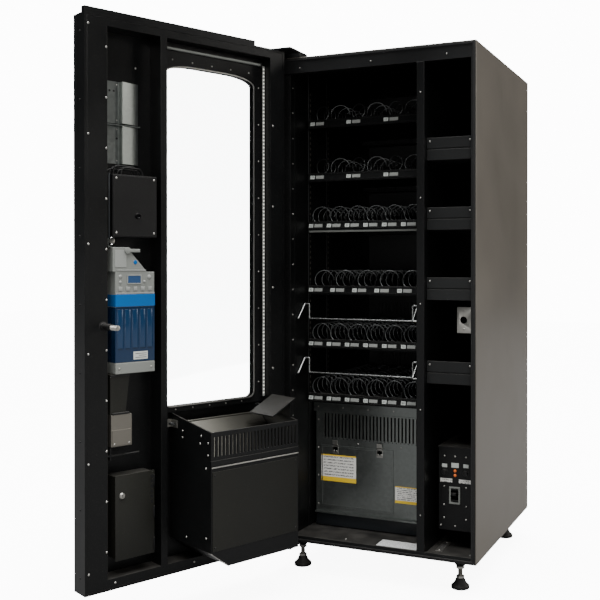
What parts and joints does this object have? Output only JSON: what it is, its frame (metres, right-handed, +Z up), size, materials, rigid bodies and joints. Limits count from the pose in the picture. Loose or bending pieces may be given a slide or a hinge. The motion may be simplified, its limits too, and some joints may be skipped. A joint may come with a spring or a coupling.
{
  "type": "snack vending machine",
  "caption": "Free-standing snack vending machine on levelling feet, its glazed door standing open, with sliding spiral trays, delivery bin, coin equipment and cooling deck.",
  "frame": {"origin": "on the floor, under the middle of the bounding box of the machine with its door open", "axes": "+X from the hinge side to the latch side of the cabinet, +Y from its front to its back, +Z up"},
  "size_m": [1.0394, 1.4774, 1.835],
  "materials": {
    "black_plastic": "fine texture",
    "black_powder_coat": "satin, fine texture",
    "blue_plastic": "gloss",
    "dark_grey_paint": "satin",
    "foot_rubber": "moulded",
    "galvanised_steel": "spangled zinc",
    "grey_plastic": "fine texture",
    "light_diffuser": "translucent",
    "spring_wire": "bright wire",
    "warm_grey_paint": "satin",
    "window_glass": "clear, insulated",
    "zinc_plate": "bright zinc"
  },
  "bodies": {
    "cabinet": {"bottom_hinge_plate": "black_powder_coat", "cabinet_shell": "warm_grey_paint", "condensing_unit": "black_powder_coat", "control_box": "black_powder_coat", "deck_access_panel": "galvanised_steel", "deck_grille_panel": "galvanised_steel", "evaporator_housing": "galvanised_steel", "floor_sill": "black_powder_coat", "foot_front_left": "foot_rubber", "foot_front_right": "foot_rubber", "foot_rear_left": "foot_rubber", "foot_rear_right": "foot_rubber", "left_liner": "black_powder_coat", "lock_strike_plate": "zinc_plate", "mullion_post": "black_powder_coat", "partition_wall": "black_powder_coat", "storage_shelf_1": "dark_grey_paint", "storage_shelf_2": "dark_grey_paint", "storage_shelf_3": "dark_grey_paint", "storage_shelf_4": "dark_grey_paint", "top_hinge_plate": "black_powder_coat"},
    "door": {"door_shell": "black_powder_coat", "door_inner_frame": "black_powder_coat", "window_glass": "window_glass", "window_retainer": "black_powder_coat", "led_strip": "light_diffuser", "bin_housing": "black_powder_coat", "validator_cover": "black_powder_coat", "coin_mech": "grey_plastic", "coin_chute": "dark_grey_paint", "coin_cup": "galvanised_steel", "cash_box": "dark_grey_paint", "control_panel": "black_plastic"},
    "condenser_fan": {"condenser_fan": "black_plastic"},
    "breaker_lever": {"breaker_lever": "black_plastic"},
    "wire_guard_upper": {"wire_guard_upper": "zinc_plate"},
    "wire_guard_lower": {"wire_guard_lower": "zinc_plate"},
    "bin_inner_flap": {"bin_inner_flap": "galvanised_steel"},
    "delivery_flap": {"delivery_flap": "black_plastic"},
    "coin_return_lever": {"coin_return_lever": "blue_plastic"},
    "cash_box_door": {"cash_box_door": "dark_grey_paint"},
    "door_handle": {"door_handle": "zinc_plate"},
    "coin_return_button": {"coin_return_button": "zinc_plate"},
    "tray_1": {"tray_1": "black_powder_coat"},
    "tray_2": {"tray_2": "black_powder_coat"},
    "tray_3": {"tray_3": "black_powder_coat"},
    "tray_4": {"tray_4": "black_powder_coat"},
    "tray_5": {"tray_5": "black_powder_coat"},
    "tray_6": {"tray_6": "black_powder_coat"},
    "spiral_1_1": {"spiral_1_1": "spring_wire"},
    "spiral_1_2": {"spiral_1_2": "spring_wire"},
    "spiral_1_3": {"spiral_1_3": "spring_wire"},
    "spiral_1_4": {"spiral_1_4": "spring_wire"},
    "spiral_1_5": {"spiral_1_5": "spring_wire"},
    "spiral_1_6": {"spiral_1_6": "spring_wire"},
    "spiral_4_1": {"spiral_4_1": "spring_wire"},
    "spiral_4_2": {"spiral_4_2": "spring_wire"},
    "spiral_4_3": {"spiral_4_3": "spring_wire"},
    "spiral_4_4": {"spiral_4_4": "spring_wire"},
    "spiral_4_5": {"spiral_4_5": "spring_wire"}
  },
  "joints": [
    {"name": "door_hinge", "type": "hinge", "parent": "cabinet", "child": "door", "pos_m": [-0.19527, -0.07129, 0.955], "axis": [0, 0, -1], "range_deg": [-114, 10]},
    {"name": "tray_1_slide", "type": "slide", "parent": "cabinet", "child": "tray_1", "axis": [0, -1, 0], "range_m": [0, 0.32]},
    {"name": "tray_2_slide", "type": "slide", "parent": "cabinet", "child": "tray_2", "axis": [0, -1, 0], "range_m": [0, 0.32]},
    {"name": "tray_3_slide", "type": "slide", "parent": "cabinet", "child": "tray_3", "axis": [0, -1, 0], "range_m": [0, 0.32]},
    {"name": "tray_4_slide", "type": "slide", "parent": "cabinet", "child": "tray_4", "axis": [0, -1, 0], "range_m": [0, 0.32]},
    {"name": "tray_5_slide", "type": "slide", "parent": "cabinet", "child": "tray_5", "axis": [0, -1, 0], "range_m": [0, 0.32]},
    {"name": "tray_6_slide", "type": "slide", "parent": "cabinet", "child": "tray_6", "axis": [0, -1, 0], "range_m": [0, 0.22]},
    {"name": "spiral_1_1_turn", "type": "hinge", "parent": "tray_1", "child": "spiral_1_1", "pos_m": [-0.11683, 0.38134, 1.6309], "axis": [0, 1, 0], "continuous": true},
    {"name": "spiral_1_2_turn", "type": "hinge", "parent": "tray_1", "child": "spiral_1_2", "pos_m": [-0.04494, 0.38134, 1.6309], "axis": [0, 1, 0], "continuous": true},
    {"name": "spiral_1_3_turn", "type": "hinge", "parent": "tray_1", "child": "spiral_1_3", "pos_m": [0.02694, 0.38134, 1.6309], "axis": [0, 1, 0], "continuous": true},
    {"name": "spiral_1_4_turn", "type": "hinge", "parent": "tray_1", "child": "spiral_1_4", "pos_m": [0.09882, 0.38134, 1.6309], "axis": [0, 1, 0], "continuous": true},
    {"name": "spiral_1_5_turn", "type": "hinge", "parent": "tray_1", "child": "spiral_1_5", "pos_m": [0.17071, 0.38134, 1.6309], "axis": [0, 1, 0], "continuous": true},
    {"name": "spiral_1_6_turn", "type": "hinge", "parent": "tray_1", "child": "spiral_1_6", "pos_m": [0.24259, 0.38134, 1.6309], "axis": [0, 1, 0], "continuous": true},
    {"name": "spiral_4_1_turn", "type": "hinge", "parent": "tray_4", "child": "spiral_4_1", "pos_m": [-0.10964, 0.38134, 1.02655], "axis": [0, 1, 0], "continuous": true},
    {"name": "spiral_4_2_turn", "type": "hinge", "parent": "tray_4", "child": "spiral_4_2", "pos_m": [-0.02338, 0.38134, 1.02655], "axis": [0, 1, 0], "continuous": true},
    {"name": "spiral_4_3_turn", "type": "hinge", "parent": "tray_4", "child": "spiral_4_3", "pos_m": [0.06288, 0.38134, 1.02655], "axis": [0, 1, 0], "continuous": true},
    {"name": "spiral_4_4_turn", "type": "hinge", "parent": "tray_4", "child": "spiral_4_4", "pos_m": [0.14914, 0.38134, 1.02655], "axis": [0, 1, 0], "continuous": true},
    {"name": "spiral_4_5_turn", "type": "hinge", "parent": "tray_4", "child": "spiral_4_5", "pos_m": [0.2354, 0.38134, 1.02655], "axis": [0, 1, 0], "continuous": true},
    {"name": "wire_guard_lower_swing", "type": "hinge", "parent": "cabinet", "child": "wire_guard_lower", "pos_m": [-0.21727, 0.04171, 0.69073], "axis": [1, 0, 0], "range_deg": [0, 150]},
    {"name": "wire_guard_upper_swing", "type": "hinge", "parent": "cabinet", "child": "wire_guard_upper", "pos_m": [-0.21727, 0.04171, 0.88622], "axis": [1, 0, 0], "range_deg": [0, 150]},
    {"name": "condenser_fan_spin", "type": "hinge", "parent": "cabinet", "child": "condenser_fan", "pos_m": [0.06888, 0.28071, 0.247], "axis": [0, 1, 0], "continuous": true},
    {"name": "breaker_toggle", "type": "hinge", "parent": "cabinet", "child": "breaker_lever", "pos_m": [0.41843, 0.08071, 0.3], "axis": [1, 0, 0], "range_deg": [0, 40]},
    {"name": "delivery_flap_hinge", "type": "hinge", "parent": "door", "child": "delivery_flap", "pos_m": [-0.31597, -0.26494, 0.443], "axis": [-0.4067, -0.9135, 0], "range_deg": [0, 55]},
    {"name": "bin_inner_flap_hinge", "type": "hinge", "parent": "door", "child": "bin_inner_flap", "pos_m": [-0.27806, -0.28182, 0.575], "axis": [-0.4067, -0.9135, 0], "range_deg": [0, 40]},
    {"name": "coin_return_lever_pivot", "type": "hinge", "parent": "door", "child": "coin_return_lever", "pos_m": [-0.39607, -0.61645, 1.121], "axis": [-0.9135, 0.4067, 0], "range_deg": [0, 18], "stiffness_Nm_per_rad": 0.08, "springref_deg": -8.59},
    {"name": "cash_box_door_hinge", "type": "hinge", "parent": "door", "child": "cash_box_door", "pos_m": [-0.36212, -0.53086, 0.315], "axis": [0, 0, 1], "range_deg": [0, 100]},
    {"name": "door_handle_turn", "type": "hinge", "parent": "door", "child": "door_handle", "pos_m": [-0.49406, -0.65634, 0.895], "axis": [0.9135, -0.4067, 0], "range_deg": [0, 90]},
    {"name": "coin_return_press", "type": "slide", "parent": "door", "child": "coin_return_button", "axis": [0.9135, -0.4067, 0], "range_m": [0, 0.0025], "stiffness_N_per_m": 300, "springref_m": -0.001}
  ],
  "couplings": [
    {"joint": "spiral_1_2_turn", "follows": "spiral_1_1_turn", "ratio": -1},
    {"joint": "spiral_1_4_turn", "follows": "spiral_1_3_turn", "ratio": -1},
    {"joint": "spiral_1_6_turn", "follows": "spiral_1_5_turn", "ratio": -1},
    {"joint": "bin_inner_flap_hinge", "follows": "delivery_flap_hinge", "ratio": 0.72}
  ]
}
